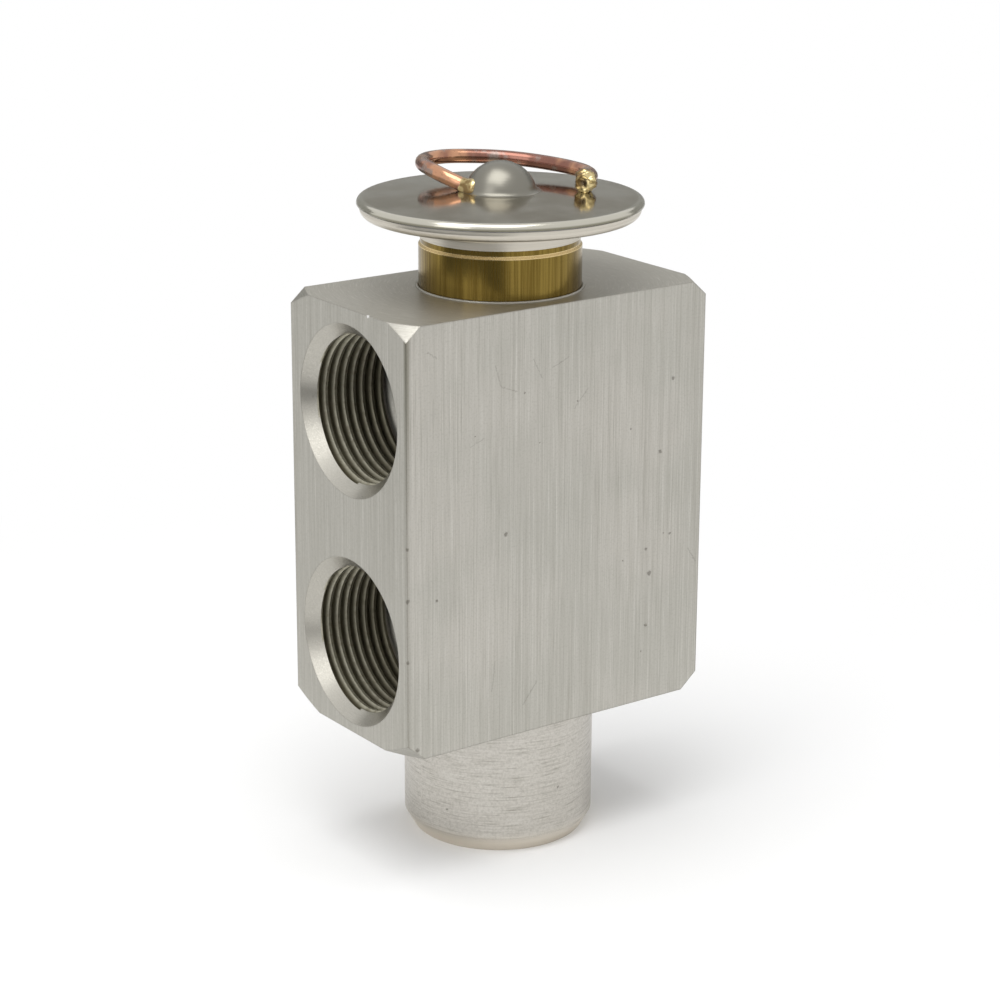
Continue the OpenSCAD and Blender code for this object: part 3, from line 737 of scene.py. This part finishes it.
def thread_mesh():
    """One port's thread along X, from THREAD_START to THREAD_END."""
    bm = bmesh.new()
    corners = (0.0, CREST_END, ROOT_START, ROOT_END, 1.0)
    shares = [s for a, b in zip(corners, corners[1:]) for s in (a, (a + b) / 2)]
    first = THREAD_START - 2 * PITCH
    turns = math.ceil((THREAD_END - first) / PITCH) + 1
    groove = [bm.verts.new((first + (n + s) * PITCH, 0, thread_radius(s)))
              for n in range(turns) for s in shares]
    back = [bm.verts.new((first + n * PITCH, 0, BACK_R)) for n in range(turns)]
    outline = groove + back[::-1]
    edges = [bm.edges.new((a, b)) for a, b in zip(outline, outline[1:] + outline[:1])]
    bmesh.ops.spin(bm, geom=outline + edges, cent=(0, 0, 0), axis=(1, 0, 0), angle=math.tau,
                   dvec=(PITCH / THREAD_STEPS, 0, 0), steps=THREAD_STEPS, use_merge=False)
    bmesh.ops.remove_doubles(bm, verts=bm.verts, dist=TINY)
    for at, way in ((THREAD_START, -1), (THREAD_END, 1)):
        bmesh.ops.bridge_loops(bm, edges=keep_one_side(bm, (at, 0, 0), (way, 0, 0)))
    for v in bm.verts:
        cone = mouth_radius(v.co.x)
        radius = math.hypot(v.co.y, v.co.z)
        if radius < cone or CREST_R < cone < BACK_R and radius < BACK_R - BACK_SKIN:
            v.co.y *= cone / radius
            v.co.z *= cone / radius
    bmesh.ops.recalc_face_normals(bm, faces=bm.faces)
    return bm


# %% [markdown]
# The threads are cut in the block's own metal. Their grooves and the parts further in are
# painted darker as painted shade, under a mottle of oil. The finish finds the groove by the
# distance from the port's axis. The ports lie in two rows, whose heights the CAD record gives
# with its mounts. The height is folded about the middle between them, and one distance serves
# both rows. The cone of the mouth gets no painted shade and takes a turned finish of its own.

# %% Thread finish
GROOVE_FADE = (10.26, 10.80)
DEPTH_FADE = (22.0, 13.0)
CREST_METAL = (0.460, 0.440, 0.350, 1)
GROOVE_SHADE = (0.160, 0.145, 0.097, 1)
DEPTH_SHADE = (0.135, 0.120, 0.078, 1)
OILY_METAL = (0.170, 0.145, 0.105, 1)

ports = [m for m in frame["record"]["mounts"] if m["kind"] == "threaded_hole"]
low_port, high_port = sorted({port["pos_m"][2] / MM for port in ports})
print("Ports:", len(ports), "at heights", round(low_port, 1), "and", round(high_port, 1), "mm")

thread_metal, t, shader = new_metal("thread_aluminium", 0.5)
in_mm = place_in_mm(t)
xyz = put(t, "ShaderNodeSeparateXYZ", Vector=in_mm).outputs
folded = maths(t, "ABSOLUTE", maths(t, "SUBTRACT", xyz["Z"], (low_port + high_port) / 2))
up = maths(t, "SUBTRACT", folded, (high_port - low_port) / 2)
radius = vectors(t, "LENGTH", put(t, "ShaderNodeCombineXYZ", X=xyz["Y"], Y=up).outputs[0])
from_middle = maths(t, "ABSOLUTE", xyz["X"])
mottle = cloudy(t, in_mm, 1.1, 3.0)
# Painted shade: the grooves and the deeper part of each port are painted dark.
colour = blend_colour(t, ramp(t, radius, *GROOVE_FADE), CREST_METAL, GROOVE_SHADE)
colour = blend_colour(t, ramp(t, from_middle, *DEPTH_FADE, 0.0, 0.7), colour, DEPTH_SHADE)
colour = blend_colour(t, ramp(t, mottle, 0.45, 0.70, 0.0, 0.4), colour, OILY_METAL)
feed(t, shader, {"Base Color": colour, "Roughness": ramp(t, mottle, 0.3, 0.7, 0.42, 0.58)})
mouth_metal = turned_metal("port_mouth_aluminium", (0.480, 0.462, 0.412, 1), (0.425, 0.408, 0.362, 1), 0.31)

# %% [markdown]
# The same thread serves all four ports. It is made along +X, turned half round for the ports
# at the left, and lifted to its port. Its finished mesh gets sharp edges at the cone's rim.

# %% Threads in the ports
def new_piece(name, bm, material, body):
    """Turns a bmesh into an object that rides on a CAD body, or on none."""
    mesh = bpy.data.meshes.new(name)
    bm.to_mesh(mesh)
    bm.free()
    for polygon in mesh.polygons:
        polygon.use_smooth = True
    mesh.materials.append(material)
    piece = add_object(name, mesh)
    if body:
        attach(piece, body)
    return piece


for port in ports:
    height = port["pos_m"][2]
    bm = thread_mesh()
    if port["axis"][0] < 0:
        bmesh.ops.rotate(bm, verts=bm.verts, cent=(0, 0, 0), matrix=Matrix.Rotation(math.pi, 3, "Z"))
    bmesh.ops.translate(bm, verts=bm.verts, vec=(0, 0, height))
    thread = new_piece(port["name"].replace("_port", "_thread"), bm, thread_metal, "block")
    thread.data.materials.append(mouth_metal)
    for face in thread.data.polygons:
        radius = math.hypot(face.center.y, face.center.z - height)
        on_cone = abs(radius - mouth_radius(abs(face.center.x))) < CONE_NEAR
        face.material_index = int(on_cone)
    thread.data.set_sharp_from_angle(angle=math.radians(25))
print("Thread faces:", len(thread.data.polygons))

# %% [markdown]
# The cutter that bored the block's top for the collar pushed up a fine burr, which shows as a
# light line round the collar's foot. A circle of vertices, spun about the axis, makes it.

# %% Bore's burr
BURR_R = 11.4 * MM
BURR_SECTION_R = 0.2 * MM
upright = Matrix.Translation((BURR_R, 0, block_high[2])) @ Matrix.Rotation(math.pi / 2, 4, "X")
bm = bmesh.new()
cut = bmesh.ops.create_circle(bm, segments=10, radius=BURR_SECTION_R, matrix=upright)
bmesh.ops.spin(bm, geom=cut["verts"] + bm.edges[:], cent=(0, 0, 0), axis=(0, 0, 1), angle=math.tau,
               steps=120, use_merge=True)
bmesh.ops.remove_doubles(bm, verts=bm.verts, dist=TINY)
bmesh.ops.recalc_face_normals(bm, faces=bm.faces)
burr = new_piece("bore_burr", bm, block_metal, "block")
print("Burr faces:", len(burr.data.polygons))

# %% [markdown]
# The superheat spring stands between its seat on the screw and the ball's carrier, and it
# changes its length when either of them moves. A merged copy of the CAD spring is cut in half
# across its middle, and the cuts are closed.

# %% Superheat spring
spring_foot, spring_head = (corner[2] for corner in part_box("superheat_spring"))
spring_middle = (spring_foot + spring_head) / 2
for name, body, end, way in (("spring_lower_half", "seat_plate", spring_foot, 1),
                             ("spring_upper_half", "stem", spring_head, -1)):
    bm = bmesh.new()
    bm.from_mesh(nodes["superheat_spring"].data)
    bmesh.ops.remove_doubles(bm, verts=bm.verts, dist=TINY)
    rim = keep_one_side(bm, (0, 0, spring_middle), (0, 0, way))
    bmesh.ops.edgeloop_fill(bm, edges=rim)
    bmesh.ops.recalc_face_normals(bm, faces=bm.faces)
    half = new_piece(name, bm, inner_steel, None)
    half.data.set_sharp_from_angle(angle=math.radians(40))
    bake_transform(half)
    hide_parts("superheat_spring")
    print(name, len(half.data.polygons), "faces, length", round(abs(end - spring_middle) / MM, 2), "mm")

# %% [markdown]
# The charging tube is a thin copper tube, bent by hand in a loop over the cover. A Bezier
# curve with a round bevel makes it: the handles point along the neighbours' line, a third of
# the way on, so the curve runs smoothly through every point of the CAD model's route.

# %% Charging tube
COVER_Z = 92.0
TUBE_R = 1.0 * MM
ROUTE = [(-3.7, 0.4, 0.25), (-4.6, 2.2, 0.85), (-5.7, 5.1, 1.75), (-5.9, 8.4, 2.35), (-4.9, 11.6, 2.5),
         (-2.5, 14.1, 2.45), (1.2, 14.9, 2.35), (4.8, 13.8, 2.2), (8.2, 11.9, 2.0), (10.8, 8.9, 1.8),
         (12.4, 5.3, 1.65), (13.3, 1.8, 1.5), (13.3, -1.6, 1.4), (12.1, -4.3, 1.3), (9.9, -6.1, 1.2)]
route = [Vector((x, y, COVER_Z + z)) * MM for x, y, z in ROUTE]


def bent_tube(name, points, radius):
    """A round tube through the points, as a mesh."""
    data = bpy.data.curves.new(name, "CURVE")
    data.dimensions = "3D"
    data.bevel_depth = radius
    data.bevel_resolution = 6
    data.resolution_u = 10
    data.use_fill_caps = True
    spline = data.splines.new("BEZIER")
    spline.bezier_points.add(len(points) - 1)
    for i, (knot, p) in enumerate(zip(spline.bezier_points, points)):
        lead = (points[min(i + 1, len(points) - 1)] - points[max(i - 1, 0)]) / 6
        knot.co = p
        knot.handle_left = p - lead
        knot.handle_right = p + lead
    shape = add_object(name + "_curve", data)
    bpy.context.view_layer.update()
    mesh = bpy.data.meshes.new_from_object(shape.evaluated_get(bpy.context.evaluated_depsgraph_get()))
    bpy.data.objects.remove(shape)
    bm = bmesh.new()
    bm.from_mesh(mesh)
    bpy.data.meshes.remove(mesh)
    bmesh.ops.remove_doubles(bm, verts=bm.verts, dist=TINY / 2)
    bmesh.ops.recalc_face_normals(bm, faces=bm.faces)
    return bm


# %% [markdown]
# The torch left its colours on the copper: dark and bright patches a few millimetres long, a
# grey bloom over some of them, and fine dark specks. Three sizes of noise give the three.

# %% Dull copper
COPPER_DARK = (0.250, 0.120, 0.092, 1)
COPPER = (0.560, 0.300, 0.180, 1)
COPPER_BLOOM = (0.260, 0.225, 0.205, 1)
COPPER_SPECK = (0.140, 0.080, 0.060, 1)

copper, t, shader = new_metal("dull_copper", 0.24)
place = place_on(t)
bloom = cloudy(t, place, 410.0, 3.0)
specks = cloudy(t, place, 1800.0, 2.0)
colour = blend_colour(t, ramp(t, cloudy(t, place, 230.0, 2.0), 0.40, 0.60), COPPER_DARK, COPPER)
colour = blend_colour(t, ramp(t, bloom, 0.52, 0.66, 0.0, 0.75), colour, COPPER_BLOOM)
colour = blend_colour(t, ramp(t, specks, 0.55, 0.75, 0.0, 0.35), colour, COPPER_SPECK)
feed(t, shader, {"Base Color": colour, "Roughness": ramp(t, bloom, 0.4, 0.7, 0.16, 0.32),
                 "Normal": raised(t, specks, 0.3, 0.008 * MM)})

tube = new_piece("bent_tube", bent_tube("bent_tube", route, TUBE_R), copper, "block")
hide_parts("charging_tube")
print("Tube length:", round(sum((b - a).length for a, b in zip(route, route[1:])) / MM, 1), "mm")

# %% [markdown]
# Filler metal runs round the tube's foot and freezes as a thin, uneven fillet, and a drop of
# solder seals the tube's cut end. Both have the same golden finish, with painted shade near one
# point: the hollow of the drop, and the tube's start for the fillet. One helper sets a shape on
# the tube, and another makes its skin uneven with noise.

# %% Filler metal
FILLER_DARK = (0.210, 0.140, 0.060, 1)
FILLER_GOLD = (0.660, 0.540, 0.280, 1)
POINT_SHADE = (0.110, 0.080, 0.050, 1)


def filler_metal(name, shaded_point, reach):
    """Gold solder, darkened by painted shade within reach (mm) of one point."""
    material, t, shader = new_metal(name, 0.22)
    heat = cloudy(t, place_on(t), 620.0, 3.0)
    point_shade = use_group(t, dot_group, Place=place_in_mm(t), Centre=tuple(shaded_point / MM), Size=reach)["Mark"]
    colour = blend_colour(t, ramp(t, heat, 0.40, 0.60), FILLER_DARK, FILLER_GOLD)
    colour = blend_colour(t, point_shade, colour, POINT_SHADE)
    feed(t, shader, {"Base Color": colour, "Roughness": ramp(t, heat, 0.3, 0.7, 0.34, 0.14)})
    return material


def lump(bm, centre, amount, size):
    """Pushes a mesh in and out from centre by noise of a given size."""
    for v in bm.verts:
        push = noise.noise(v.co / size) * amount
        v.co += (v.co - centre).normalized() * push


def along(start, way):
    """The matrix that sets a shape made along Z at start, along way."""
    return Matrix.Translation(start) @ way.to_track_quat("Z", "Y").to_matrix().to_4x4()


# %% [markdown]
# The fillet starts as a straight collar from create_cone, cut into rings. A sine of the
# squared distance from its outer end swells the collar near the dome and draws it in again
# where it sinks into it, and lets it run out thinly along the tube.

# %% Foot fillet
FOOT_R = 1.95
FOOT_LENGTH = 3.0 * MM
FOOT_OUT = 1.1
TUBE_HUG = 1.03
SWELL = 0.62

foot_way = (route[1] - route[0]).normalized()
foot = route[0] + foot_way * FOOT_OUT * MM
bm = bmesh.new()
bmesh.ops.create_cone(bm, cap_ends=True, segments=40, radius1=FOOT_R * MM, radius2=FOOT_R * MM,
                      depth=FOOT_LENGTH)
upright = [e for e in bm.edges if abs(e.verts[0].co.z - e.verts[1].co.z) > MM]
bmesh.ops.subdivide_edges(bm, edges=upright, cuts=7)
for v in bm.verts:
    left = 0.5 - v.co.z / FOOT_LENGTH
    shrink = (TUBE_HUG + SWELL * math.sin(math.pi * 0.9 * left * left)) / FOOT_R
    v.co.x *= shrink
    v.co.y *= shrink
bmesh.ops.transform(bm, matrix=along(foot, foot_way), verts=bm.verts)
lump(bm, foot, 0.16 * MM, 1.3 * MM)
# Painted shade darkens the filler within 0.2 mm of the tube's start.
gold = filler_metal("foot_filler", route[0], 0.2)
braze = new_piece("foot_fillet", bm, gold, "block")
smoother = braze.modifiers.new("round", "SUBSURF")
smoother.levels = 1
smoother.render_levels = 1
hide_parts("tube_braze")
print("Fillet:", len(braze.data.polygons), "faces")

# %% [markdown]
# The sealed end is a drop of solder with a sunken middle, darkened by painted shade: a sphere
# whose front is pulled in, more the nearer a point lies to its pole.

# %% Sealed end
DROP_R = 1.55 * MM
HOLLOW = 0.7 * MM
HOLLOW_EDGE = 0.72

bm = bmesh.new()
bmesh.ops.create_icosphere(bm, subdivisions=5, radius=DROP_R)
for v in bm.verts:
    inwards = max(0.0, v.co.z / DROP_R - HOLLOW_EDGE) / (1 - HOLLOW_EDGE)
    v.co.z -= HOLLOW * inwards * inwards
tip_way = (route[-1] - route[-2]).normalized()
bmesh.ops.transform(bm, matrix=along(route[-1], tip_way), verts=bm.verts)
lump(bm, route[-1], 0.42 * MM, 0.75 * MM)
# Painted shade: the middle of the drop's hollow is painted dark.
hollow = route[-1] + tip_way * HOLLOW
tip = new_piece("sealed_end", bm, filler_metal("end_solder", hollow, 0.85), "block")
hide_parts("tube_tip")
print("Drop:", len(tip.data.polygons), "faces")
